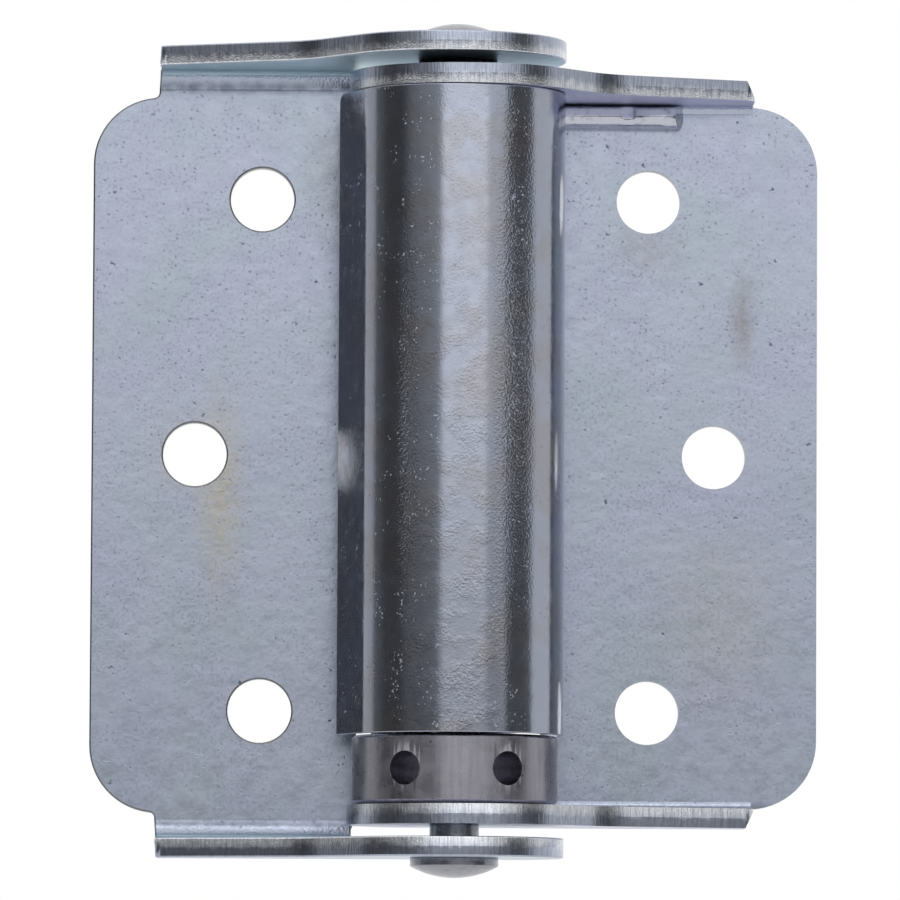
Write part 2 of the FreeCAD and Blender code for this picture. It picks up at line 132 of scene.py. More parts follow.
class HingeColours(bpy.types.PropertyGroup):
    zinc: colour_property("Zinc", "Blue passivated zinc on the leaves", "B3BACA")
    zinc_green: colour_property("Greener zinc", "Greener patches of the passivation", "A9B6BF")
    zinc_violet: colour_property("Bluer zinc", "Violet patches of the passivation", "B2B6CC")
    # Also painted shade: this dark colour is laid in bands along the leaves' bends.
    speck_and_shade: colour_property("Specks", "Dark pits between the zinc's grains", "697082")
    stain: colour_property("Stain", "Yellowish chromate stain", "BAB5A6")
    smudge: colour_property("Smudge", "Brownish smudges on the door's leaf", "918A86")
    cover: colour_property("Cover", "Glossier zinc of the rolled cover", "AEB4C3")
    cover_warm: colour_property("Warm cover", "Worn, warmer patches of the cover", "ACA9AC")
    # The films inside the ears are pale partly as painted reflection of the light that reaches in
    # there.
    torn: colour_property("Torn edge", "Bright glitter of the punch's torn cut", "E6E9EE")
    green_film_and_reflection: colour_property("Green film", "Film inside the frame leaf's ears", "DCF2F4")
    violet_film_and_reflection: colour_property("Violet film", "Film inside the door leaf's ears", "D6D8EA")
    steel: colour_property("Collar steel", "Bare turned steel of the collar", "A2A0A9")
    # Also painted shade: this near-black darkens the washer for the shade in the gap between the
    # ears, and the leaves' plate rims and hole walls.
    oxide_and_shade: colour_property("Black oxide", "The washer between the ears", "17171A")
    pin: colour_property("Pin", "Zinc plate on the riveted pin", "9A9BA2")
    wire: colour_property("Wire", "Zinc plated spring wire", "C6C8D2")
    floor: colour_property("Floor", "The plain studio floor", "F2F2F2")


def add(tree, kind, values, output=0):
    """Adds a shader node and returns one of its outputs.

    A value that is a socket is linked to the input of that name. Any other value is set on
    the input or, where the node has none of that name, on the node itself.
    """
    node = tree.nodes.new("ShaderNode" + kind)
    for key, value in values.items():
        if not isinstance(key, int) and key not in node.inputs:
            setattr(node, key, value)
        elif isinstance(value, bpy.types.NodeSocket):
            tree.links.new(value, node.inputs[key])
        else:
            node.inputs[key].default_value = value
    return node.outputs[output] if node.outputs else None


def new_material(name, constants):
    """A material whose shader has these constant values, with its tree and shader."""
    material = bpy.data.materials.new(name)
    material.use_nodes = True
    shader = material.node_tree.nodes["Principled BSDF"]
    for key, value in constants.items():
        shader.inputs[key].default_value = value
    return material, material.node_tree, shader


def connect(shader, patterns):
    """Links each pattern to the shader's input of that name."""
    for key, socket in patterns.items():
        shader.id_data.links.new(socket, shader.inputs[key])


def in_millimetres(tree, stretch=(1.0, 1.0, 1.0)):
    """The place on the piece in millimetres, squeezed by stretch so that a pattern runs long.

    A texture on it has a scale of one over the real size of its lumps.
    """
    place = add(tree, "TexCoord", {}, "Object")
    scale = [1 / (MM * share) for share in stretch]
    return add(tree, "Mapping", {"Vector": place, "Scale": scale})


def mottle(tree, place, size, low, high, least=0.0, most=1.0, detail=3.0):
    """Soft lumps about size millimetres across, drawn from least to most between two levels."""
    lumps = add(tree, "TexNoise", {"Vector": place, "Scale": 1 / size, "Detail": detail})
    levels = {"From Min": low, "From Max": high, "To Min": least, "To Max": most}
    return add(tree, "MapRange", {"interpolation_type": "SMOOTHSTEP", "Value": lumps, **levels})


def dots(tree, place, spacing, reach, share):
    """Ragged dots, one in each chosen cell: 1 on a dot and 0 off it.

    Cells lie spacing millimetres apart, reach is a dot's radius in cells, and share is how
    many of the cells have one.
    """
    jitter = add(tree, "TexNoise", {"Vector": place, "Scale": 3 / spacing}, "Color")
    ragged = {"operation": "MULTIPLY_ADD", 0: jitter, 1: [spacing * 0.5] * 3, 2: place}
    moved = add(tree, "VectorMath", ragged)
    distance = add(tree, "TexVoronoi", {"Vector": moved, "Scale": 1 / spacing})
    chance = add(tree, "SeparateColor", {0: distance.node.outputs["Color"]})
    chosen = add(tree, "Math", {"operation": "LESS_THAN", 0: chance, 1: share})
    fall = {"From Min": reach * 0.4, "From Max": reach, "To Min": 1.0, "To Max": 0.0}
    core = add(tree, "MapRange", {"Value": distance, **fall})
    return add(tree, "Math", {"operation": "MULTIPLY", 0: core, 1: chosen})


def spot(tree, place, centre, spread):
    """A soft spot, 1 at its centre and 0 at the spread, both in millimetres along X, Y, Z."""
    shares = [1 / length for length in spread]
    shift = [-middle * share for middle, share in zip(centre, shares)]
    aside = add(tree, "Mapping", {"Vector": place, "Location": shift, "Scale": shares})
    reach = add(tree, "VectorMath", {"operation": "LENGTH", 0: aside}, "Value")
    fade = {"interpolation_type": "SMOOTHSTEP", "To Min": 1.0, "To Max": 0.0}
    return add(tree, "MapRange", {"Value": reach, **fade})


# Stains and smudges on the leaves, and painted shade in dark bands along their bends: the
# colour's name, centre and spread in millimetres, and strength.
STAINS_AND_SHADE = {
    "outer_leaf": (
        ("stain", (-5.0, -2.4, -5.0), (4.5, 6.0, 19.0), 0.75),
        ("stain", (-8.3, -2.4, 0.0), (7.5, 6.0, 7.0), 0.45),
        ("smudge", (9.0, -2.4, 33.0), (6.0, 6.0, 12.0), 0.3),
        # Painted shade: dark bands along the frame leaf's top and bottom bends.
        ("speck_and_shade", (-5.0, -2.0, 45.2), (70.0, 20.0, 1.25), 0.85),
        ("speck_and_shade", (-5.0, -2.0, -45.3), (70.0, 20.0, 0.9), 0.7),
    ),
    "inner_leaf": (
        ("smudge", (59.0, -2.4, 17.0), (2.6, 6.0, 9.0), 0.6),
        ("smudge", (47.0, -2.4, 26.0), (7.0, 6.0, 6.0), 0.3),
        ("stain", (56.0, -2.4, -20.0), (12.0, 6.0, 16.0), 0.3),
        # Painted shade: a dark band along the door leaf's bottom bend.
        ("speck_and_shade", (50.0, -2.0, -43.0), (70.0, 20.0, 0.9), 0.6),
    ),
}


# A face inside an ear looks back at the hinge's middle from more than this many millimetres.
INSIDE_EARS = 38.0


def zinc_sheet(node, edge_tint, ear_film_and_reflection):
    """Bright zinc plate with blue passivation over rolled sheet.

    A dull mirror with a bluish film that drifts to green and violet, dark pits in crowds,
    a few short handling scratches, the leaf's own stains and painted shade in dark bands
    along the bends. Inside the ears the plating is duller, with a stronger film whose pale
    colour is partly a tint and partly painted reflection of the light that reaches in there.
    """
    colours = bpy.context.scene.hinge_colours
    pit = bpy.context.scene.hinge_sizes.pit / MM
    constants = {"Metallic": 1.0, "Specular Tint": edge_tint}
    material, tree, shader = new_material("zinc_plated_" + node, constants)
    place = in_millimetres(tree)
    normal = add(tree, "NewGeometry", {}, "Normal")
    slopes = add(tree, "SeparateXYZ", {0: normal}).node.outputs
    base = colours.zinc
    for colour, size in ((colours.zinc_green, 13.0), (colours.zinc_violet, 10.0)):
        drift = mottle(tree, place, size, low=0.4, high=0.7, most=0.6)
        base = add(tree, "Mix", {"data_type": "RGBA", "Factor": drift, 6: base, 7: colour}, 2)
    broken = mottle(tree, place, size=1.3, low=0.3, high=0.65, least=0.5, detail=4.0)
    # The stains and smudges, and the painted shade along the bends, are mixed over the zinc.
    for colour, centre, spread, strength in STAINS_AND_SHADE[node]:
        stain_and_shade = spot(tree, place, centre, spread)
        stain_and_shade = add(tree, "Math", {"operation": "MULTIPLY", 0: stain_and_shade, 1: broken})
        stain_and_shade = add(tree, "Math", {"operation": "MULTIPLY", 0: stain_and_shade, 1: strength})
        tone = getattr(colours, colour)
        base = add(tree, "Mix", {"data_type": "RGBA", "Factor": stain_and_shade, 6: base, 7: tone}, 2)
    crowd = mottle(tree, place, size=5.0, low=0.38, high=0.62, least=0.2, most=0.6)
    cloud = mottle(tree, place, size=0.4, low=0.48, high=0.75, most=0.6, detail=4.0)
    cloud = add(tree, "Math", {"operation": "MULTIPLY", 0: cloud, 1: crowd})
    fine = dots(tree, place, pit, reach=0.26, share=0.5)
    fine = add(tree, "Math", {"operation": "MULTIPLY", 0: fine, 1: crowd})
    coarse = dots(tree, place, pit * 3, reach=0.13, share=0.25)
    for pattern in (cloud, fine, coarse):
        dark = {"data_type": "RGBA", "Factor": pattern, 6: base, 7: colours.speck_and_shade}
        base = add(tree, "Mix", dark, 2)
    facing = add(tree, "Math", {"operation": "ABSOLUTE", 0: slopes["Z"]})
    level = add(tree, "SeparateXYZ", {0: place}, "Z")
    outward = add(tree, "Math", {"operation": "MULTIPLY", 0: slopes["Z"], 1: level})
    inside_ears = add(tree, "Math", {"operation": "LESS_THAN", 0: outward, 1: -INSIDE_EARS})
    # Painted reflection: faces inside the ears take most of the pale film colour, partly a tint
    # and partly the light that reaches in there.
    film = add(tree, "Math", {"operation": "MULTIPLY", 0: inside_ears, 1: 0.8})
    base = add(tree, "Mix", {"data_type": "RGBA", "Factor": film, 6: base, 7: ear_film_and_reflection}, 2)
    rough = mottle(tree, place, size=2.5, low=0.3, high=0.7, least=0.19, most=0.25)
    rough = add(tree, "Mix", {"Factor": inside_ears, 2: rough, 3: 0.34})
    along = in_millimetres(tree, (7.0, 1.0, 0.6))
    scratches = mottle(tree, along, size=0.5, low=0.74, high=0.8)
    pits = add(tree, "Math", {"operation": "MAXIMUM", 0: fine, 1: coarse})
    pits = add(tree, "Math", {"operation": "MAXIMUM", 0: pits, 1: scratches})
    waves = add(tree, "TexNoise", {"Vector": place, "Scale": 1 / 1.6, "Detail": 3.0})
    normal = add(tree, "Bump", {"Height": waves, "Distance": 0.02 * MM})
    dents = {"Height": pits, "Distance": 0.02 * MM, "Normal": normal, "invert": True}
    normal = add(tree, "Bump", dents)
    grains = add(tree, "TexNoise", {"Vector": place, "Scale": 1 / 0.3, "Detail": 3.0})
    # The bends' outer skin is stretched into fine grains.
    bent = add(tree, "MapRange", {"Value": facing, "From Min": 0.1, "From Max": 0.35})
    stretched = {"Height": grains, "Strength": bent, "Distance": 0.05 * MM, "Normal": normal}
    normal = add(tree, "Bump", stretched)
    connect(shader, {"Base Color": base, "Roughness": rough, "Normal": normal})
    return material


def sheared_edge(node, ear_inside, sheet):
    """The sheet's punched edge under the plating, for a leaf whose sheet is in millimetres.

    The punch left the outer half of the thickness burnished, with marks along its stroke,
    and tore the inner half, which glitters. The rims of the flat plate and its holes carry
    painted shade, dull and dark.
    """
    colours = bpy.context.scene.hinge_colours
    streak = bpy.context.scene.hinge_sizes.streak / MM
    material, tree, shader = new_material("sheared_edge_" + node, {"Metallic": 1.0})
    place = in_millimetres(tree)
    parts = add(tree, "SeparateXYZ", {0: place}).node.outputs
    height = add(tree, "Math", {"operation": "ABSOLUTE", 0: parts["Z"]})
    on_ear = add(tree, "Math", {"operation": "GREATER_THAN", 0: height, 1: ear_inside})
    ear_depth = add(tree, "Math", {"operation": "SUBTRACT", 0: height, 1: ear_inside})
    wing_depth = add(tree, "Math", {"operation": "ADD", 0: parts["Y"], 1: sheet})
    depth = add(tree, "Mix", {"Factor": on_ear, 2: wing_depth, 3: ear_depth})
    ragged = {"least": -0.3, "most": 0.3, "detail": 5.0}
    wander = mottle(tree, place, size=0.9, low=0.3, high=0.7, **ragged)
    slope = add(tree, "MapRange", {"Value": depth, "From Max": sheet * 0.5})
    sloping = add(tree, "Bump", {"Height": slope, "Distance": 0.115 * MM})
    depth = add(tree, "Math", {"operation": "ADD", 0: depth, 1: wander})
    limits = {"From Min": sheet * 0.2, "From Max": sheet * 0.6, "To Min": 1.0, "To Max": 0.0}
    torn = add(tree, "MapRange", {"Value": depth, **limits})
    stroke = {"Scale": 1 / streak, "Detail": 3.0}
    on_ears = {"Vector": in_millimetres(tree, (1.0, 1.0, 12.0)), **stroke}
    on_wings = {"Vector": in_millimetres(tree, (1.0, 12.0, 1.0)), **stroke}
    streaks = {2: add(tree, "TexNoise", on_wings), 3: add(tree, "TexNoise", on_ears)}
    streaks = add(tree, "Mix", {"Factor": on_ear, **streaks})
    grains = add(tree, "TexNoise", {"Vector": place, "Scale": 1 / 0.22, "Detail": 3.0})
    burnished = {"Height": streaks, "Distance": 0.03 * MM, "Normal": sloping}
    burnished = add(tree, "Bump", burnished)
    fractured = {"Height": grains, "Distance": 0.035 * MM, "Normal": sloping}
    fractured = add(tree, "Bump", fractured)
    normal = {"data_type": "VECTOR", "Factor": torn, 4: burnished, 5: fractured}
    normal = add(tree, "Mix", normal, 1)
    shade = {"From Min": 0.42, "From Max": 0.68, "To Max": 0.4}
    dark = add(tree, "MapRange", {"Value": streaks, **shade})
    base = {"data_type": "RGBA", "Factor": torn, 6: colours.zinc, 7: colours.torn}
    base = {"data_type": "RGBA", "Factor": dark, 6: add(tree, "Mix", base, 2), 7: colours.speck_and_shade}
    # Painted shade: on the flat plate's rims and hole walls three quarters of the near-black is
    # mixed in for the shade there; the ears' edges keep their zinc.
    painted_rim_shade = add(tree, "MapRange", {"Value": on_ear, "To Min": 0.75, "To Max": 0.0})
    base = {"data_type": "RGBA", "Factor": painted_rim_shade, 6: add(tree, "Mix", base, 2), 7: colours.oxide_and_shade}
    base = add(tree, "Mix", base, 2)
    rough = add(tree, "MapRange", {"Value": torn, "To Min": 0.18, "To Max": 0.24})
    connect(shader, {"Base Color": base, "Roughness": rough, "Normal": normal})
    return material


# Strips of the cover whose plating is rougher: centre and spread in millimetres, and strength.
ROUGH_STRIPS = (
    ((30.9, -26.0, 10.0), (4.0, 9.0, 62.0), 1.7),
    ((17.2, -26.0, 5.0), (2.6, 7.0, 48.0), 1.5),
)


def zinc_cover():
    """Zinc plate over thin, smooth sheet, rolled into a tube.

    A near mirror with fine orange peel, bright specks that glitter in its dark bands, dull
    specks in its bright ones and warmer patches where the plate is worn.
    """
    colours = bpy.context.scene.hinge_colours
    glint = bpy.context.scene.hinge_sizes.glint / MM
    material, tree, shader = new_material("zinc_plated_cover", {"Metallic": 1.0})
    place = in_millimetres(tree)
    worn = mottle(tree, place, size=6.0, low=0.4, high=0.65, most=0.6)
    worn = {"data_type": "RGBA", "Factor": worn, 6: colours.cover, 7: colours.cover_warm}
    base = add(tree, "Mix", worn, 2)
    crowd = mottle(tree, place, size=3.0, low=0.38, high=0.62, least=0.2)
    specks = dots(tree, place, glint * 2.5, reach=0.2, share=0.4)
    specks = add(tree, "Math", {"operation": "MULTIPLY", 0: specks, 1: crowd})
    specks = add(tree, "Math", {"operation": "MULTIPLY", 0: specks, 1: 0.5})
    specks = {"data_type": "RGBA", "Factor": specks, 6: base, 7: colours.speck_and_shade}
    base = add(tree, "Mix", specks, 2)
    rough = mottle(tree, place, size=1.5, low=0.3, high=0.7, least=0.11, most=0.17)
    peel = add(tree, "TexNoise", {"Vector": place, "Scale": 1 / 0.3, "Detail": 2.0})
    strength = add(tree, "Math", {"operation": "MULTIPLY", 0: crowd, 1: 0.25})
    for centre, spread, force in ROUGH_STRIPS:
        strip = spot(tree, place, centre, spread)
        strip = add(tree, "Math", {"operation": "MULTIPLY", 0: strip, 1: force})
        strength = add(tree, "Math", {"operation": "MAXIMUM", 0: strength, 1: strip})
    peel = add(tree, "Math", {"operation": "MULTIPLY", 0: peel, 1: strength})
    normal = add(tree, "Bump", {"Height": peel, "Distance": 0.045 * MM})
    nicks = mottle(tree, place, glint, low=0.62, high=0.76, detail=4.0)
    flock = mottle(tree, place, size=2.2, low=0.5, high=0.68)
    nicks = add(tree, "Math", {"operation": "MULTIPLY", 0: nicks, 1: flock})
    normal = add(tree, "Bump", {"Height": nicks, "Distance": 0.05 * MM, "Normal": normal})
    connect(shader, {"Base Color": base, "Roughness": rough, "Normal": normal})
    return material


def turned_steel():
    """Bare turned steel: dull warm grey, with faint marks along the bar it was cut from."""
    colours = bpy.context.scene.hinge_colours
    material, tree, shader = new_material("turned_steel", {"Metallic": 1.0})
    place = in_millimetres(tree)
    along_bar = in_millimetres(tree, (1.0, 1.0, 14.0))
    streaks = add(tree, "TexNoise", {"Vector": along_bar, "Scale": 1 / 0.5, "Detail": 3.0})
    shade = {"Value": streaks, "From Min": 0.45, "From Max": 0.75, "To Max": 0.35}
    shade = add(tree, "MapRange", shade)
    base = {"data_type": "RGBA", "Factor": shade, 6: colours.steel, 7: colours.speck_and_shade}
    base = add(tree, "Mix", base, 2)
    specks = dots(tree, place, spacing=1.1, reach=0.18, share=0.15)
    specks = {"data_type": "RGBA", "Factor": specks, 6: base, 7: colours.oxide_and_shade}
    base = add(tree, "Mix", specks, 2)
    rough = mottle(tree, place, size=2.0, low=0.3, high=0.7, least=0.24, most=0.34)
    normal = add(tree, "Bump", {"Height": streaks, "Distance": 0.01 * MM})
    connect(shader, {"Base Color": base, "Roughness": rough, "Normal": normal})
    return material


def plated_rod(name, colour, roughness):
    """Zinc plate over drawn or headed rod: glossy, with fine specks and a dulled grain."""
    colours = bpy.context.scene.hinge_colours
    material, tree, shader = new_material(name, {"Metallic": 1.0})
    place = in_millimetres(tree)
    worn = mottle(tree, place, size=0.7, low=0.5, high=0.75, most=0.5)
    base = {"data_type": "RGBA", "Factor": worn, 6: colour, 7: colours.speck_and_shade}
    base = add(tree, "Mix", base, 2)
    spread = {"least": roughness * 0.8, "most": roughness * 1.3}
    rough = mottle(tree, place, size=0.6, low=0.3, high=0.7, **spread)
    grain = add(tree, "TexNoise", {"Vector": place, "Scale": 1 / 0.4, "Detail": 3.0})
    normal = add(tree, "Bump", {"Height": grain, "Distance": 0.015 * MM})
    connect(shader, {"Base Color": base, "Roughness": rough, "Normal": normal})
    return material


def black_oxide_and_shade():
    """Black oxide on a steel washer: nearly black, with a low sheen, its darkness partly painted
    shade for the gap between the ears.
    """
    colours = bpy.context.scene.hinge_colours
    material, tree, shader = new_material("black_oxide_and_shade", {"Metallic": 1.0})
    place = in_millimetres(tree)
    wear = mottle(tree, place, size=0.8, low=0.55, high=0.8, most=0.35)
    base = {"data_type": "RGBA", "Factor": wear, 6: colours.oxide_and_shade, 7: colours.speck_and_shade}
    rough = mottle(tree, place, size=0.5, low=0.3, high=0.7, least=0.35, most=0.55)
    connect(shader, {"Base Color": add(tree, "Mix", base, 2), "Roughness": rough})
    return material


def node_copy(node, name):
    """A copy of a node's mesh with its faces joined up and its flat faces whole."""
    mesh = bpy.data.meshes.new(name)
    work = bmesh.new()
    work.from_mesh(frame["nodes"][node].data)
    bmesh.ops.remove_doubles(work, verts=work.verts, dist=TOUCHING)
    bmesh.ops.dissolve_limit(work, angle_limit=FLAT, verts=work.verts, edges=work.edges)
    work.to_mesh(mesh)
    work.free()
    piece = bpy.data.objects.new(name, mesh)
    bpy.context.scene.collection.objects.link(piece)
    return piece


def settle(piece):
    """Applies a piece's modifiers and leaves a plain, smoothly shaded mesh."""
    depsgraph = bpy.context.evaluated_depsgraph_get()
    finished = bpy.data.meshes.new_from_object(piece.evaluated_get(depsgraph))
    piece.modifiers.clear()
    old = piece.data
    piece.data = finished
    finished.name = old.name + "_finished"
    bpy.data.meshes.remove(old)
    return piece


def round_over(piece, width, segments=3, rim=-1, clamp=True):
    """Rounds every sharp edge and keeps the flats flat in the shading.

    The rounding has the material in slot rim, or for -1 that of the faces beside it. A
    clamped rounding is narrower all over where the piece has shorter edges than its width.
    """
    for face in piece.data.polygons:
        face.use_smooth = True
    bevel = piece.modifiers.new("rounding", "BEVEL")
    bevel.width = width
    bevel.segments = segments
    bevel.limit_method = "ANGLE"
    bevel.angle_limit = SHARP
    bevel.material = rim
    bevel.harden_normals = True
    bevel.use_clamp_overlap = clamp
    weighted = piece.modifiers.new("normals", "WEIGHTED_NORMAL")
    weighted.keep_sharp = True
    return settle(piece)


def attach(piece, body, node):
    """Lets a piece ride on its body, in place of a node, which it hides."""
    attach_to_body(piece, body)
    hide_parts(node)
    return piece


# A leaf's second material is that of its punched edges. A face cut across the sheet has
# less than this of its normal along the sheet's thickness.
CUT_SLOT = 1
SQUARE_CUT = 0.2


class HINGE_OT_leaves(bpy.types.Operator):
    """Round and plate the two bent leaves"""

    bl_idname = "hinge.leaves"
    bl_label = "Leaves"

    # Each leaf with its body, the tint of its passivation where it is seen at a slant, the
    # colour of the film inside its ears, made pale as painted reflection, and whether its
    # rounding is clamped. The door leaf's is, because at full width its corners would cross.
    LEAVES = (
        ("outer_leaf", "frame_leaf", "F4FCFC", "green_film_and_reflection", False),
        ("inner_leaf", "door_leaf", "F6F4FE", "violet_film_and_reflection", True),
    )
    # How much nearer to the pin the frame leaf's plate ends, so that it meets the collar.
    WIDER = 0.35
    # The plate lies within this many sheets of the back, and the bends within this many of
    # the ears' tops.
    PLATE_REACH = 1.02
    BEND_REACH = 1.98

    def execute(self, context):
        sizes = context.scene.hinge_sizes
        for node, body, tint, film, clamp in self.LEAVES:
            ear_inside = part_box(node)[1].z - sizes.sheet
            piece = node_copy(node, node + "_plated")
            film_and_reflection_colour = getattr(context.scene.hinge_colours, film)
            piece.data.materials.append(zinc_sheet(node, from_hex(tint), film_and_reflection_colour))
            piece.data.materials.append(sheared_edge(node, ear_inside / MM, sizes.sheet / MM))
            mark_cut_edges(piece.data, node, sizes.sheet)
            if node == "outer_leaf":
                self.widen_plate(piece.data, sizes.sheet)
            round_over(piece, sizes.sheet_round, rim=CUT_SLOT, clamp=clamp)
            attach(piece, body, node)
        return {"FINISHED"}

    def widen_plate(self, mesh, sheet):
        """Moves the straight inner edge of the frame leaf's plate towards the pin."""
        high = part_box("outer_leaf")[1]
        front = high.y - sheet * self.PLATE_REACH
        bends = high.z - sheet * self.BEND_REACH
        places = [vertex.co for vertex in mesh.vertices]
        plate = [place for place in places if place.y > front and abs(place.z) < bends]
        edge = max(place.x for place in plate)
        for place in plate:
            if place.x > edge - HAIR:
                place.x += self.WIDER * MM


def mark_cut_edges(mesh, node, sheet):
    """Gives the second material to the faces that the punch cut across the sheet."""
    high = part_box(node)[1]
    ear_inside = high.z - sheet
    plate_front = high.y - sheet
    for face in mesh.polygons:
        normal, centre = face.normal, face.center
        in_ear = abs(centre.z) > ear_inside and centre.y < plate_front
        in_plate = abs(centre.z) < ear_inside and centre.y > plate_front
        cut_ear = in_ear and abs(normal.z) < SQUARE_CUT
        cut_plate = in_plate and abs(normal.y) < SQUARE_CUT
        face.material_index = CUT_SLOT if cut_ear or cut_plate else 0


class HINGE_OT_cover(bpy.types.Operator):
    """Round and plate the spring's rolled cover"""

    bl_idname = "hinge.cover"
    bl_label = "Spring cover"

    # Where the lip leaves the roll, left of the pin, and how far back it leans over its width.
    LIP_ROOT = 11.4
    LIP_LEAN = 0.36

    def execute(self, context):
        piece = node_copy("spring_cover", "spring_cover_rolled")
        self.lean_lip(piece.data)
        piece.data.materials.append(zinc_cover())
        round_over(piece, context.scene.hinge_sizes.cover_round, segments=2)
        attach(piece, "door_leaf", "spring_cover")
        return {"FINISHED"}

    def lean_lip(self, mesh):
        """Leans the straight lip back, so that it mirrors the frame leaf's middle hole."""
        root = PIN_AXIS.x - self.LIP_ROOT * MM
        for vertex in mesh.vertices:
            if vertex.co.x < root and vertex.co.y < PIN_AXIS.y:
                vertex.co.y += (root - vertex.co.x) * self.LIP_LEAN


class HINGE_OT_collar(bpy.types.Operator):
    """Ease the edges of the tension collar and its rod holes"""

    bl_idname = "hinge.collar"
    bl_label = "Tension collar"

    def execute(self, context):
        piece = node_copy("tension_collar", "tension_collar_turned")
        piece.data.materials.append(turned_steel())
        round_over(piece, context.scene.hinge_sizes.collar_round, segments=2)
        attach(piece, "collar", "tension_collar")
        return {"FINISHED"}


class HINGE_OT_pin(bpy.types.Operator):
    """Finish the riveted pin and the dark washer"""

    bl_idname = "hinge.pin"
    bl_label = "Pin and washer"

    def execute(self, context):
        sizes, colours = context.scene.hinge_sizes, context.scene.hinge_colours
        pin = node_copy("hinge_pin", "hinge_pin_headed")
        pin.data.materials.append(plated_rod("zinc_plated_pin", colours.pin, roughness=0.2))
        round_over(pin, sizes.pin_round)
        attach(pin, "frame_leaf", "hinge_pin")
        washer = node_copy("ear_washer", "ear_washer_oxide_and_shade")
        washer.data.materials.append(black_oxide_and_shade())
        round_over(washer, sizes.washer_round)
        attach(washer, "frame_leaf", "ear_washer")
        return {"FINISHED"}


# A wire that rises more steeply than this has its rings turned by the line's start.
STEEP = 0.7


def wire_mesh(name, line, span, radius, sides=14):
    """A round wire along a span of a line of points, with a flat disc where the line ends."""
    work = bmesh.new()
    rings = []
    for number in range(span[0], span[1] + 1):
        point = line[number]
        before = line[max(number - 1, 0)]
        after = line[min(number + 1, len(line) - 1)]
        ahead = (after - before).normalized()
        upright = Vector((0, 0, 1)) if abs(ahead.z) < STEEP else line[0] - point
        across = ahead.cross(upright).normalized()
        upward = across.cross(ahead)
        ring = []
        for side in range(sides):
            angle = side / sides * math.tau
            place = point + (across * math.cos(angle) + upward * math.sin(angle)) * radius
            ring.append(work.verts.new(place))
        rings.append(ring)
    for first, second in zip(rings, rings[1:]):
        for side in range(sides):
            after = (side + 1) % sides
            work.faces.new((first[side], first[after], second[after], second[side]))
    if span[0] == 0:
        work.faces.new(reversed(rings[0]))
    if span[1] == len(line) - 1:
        work.faces.new(rings[-1])
    bmesh.ops.recalc_face_normals(work, faces=work.faces)
    mesh = bpy.data.meshes.new(name)
    work.to_mesh(mesh)
    work.free()
    for face in mesh.polygons:
        face.use_smooth = len(face.vertices) == 4
    piece = bpy.data.objects.new(name, mesh)
    bpy.context.scene.collection.objects.link(piece)
    return piece


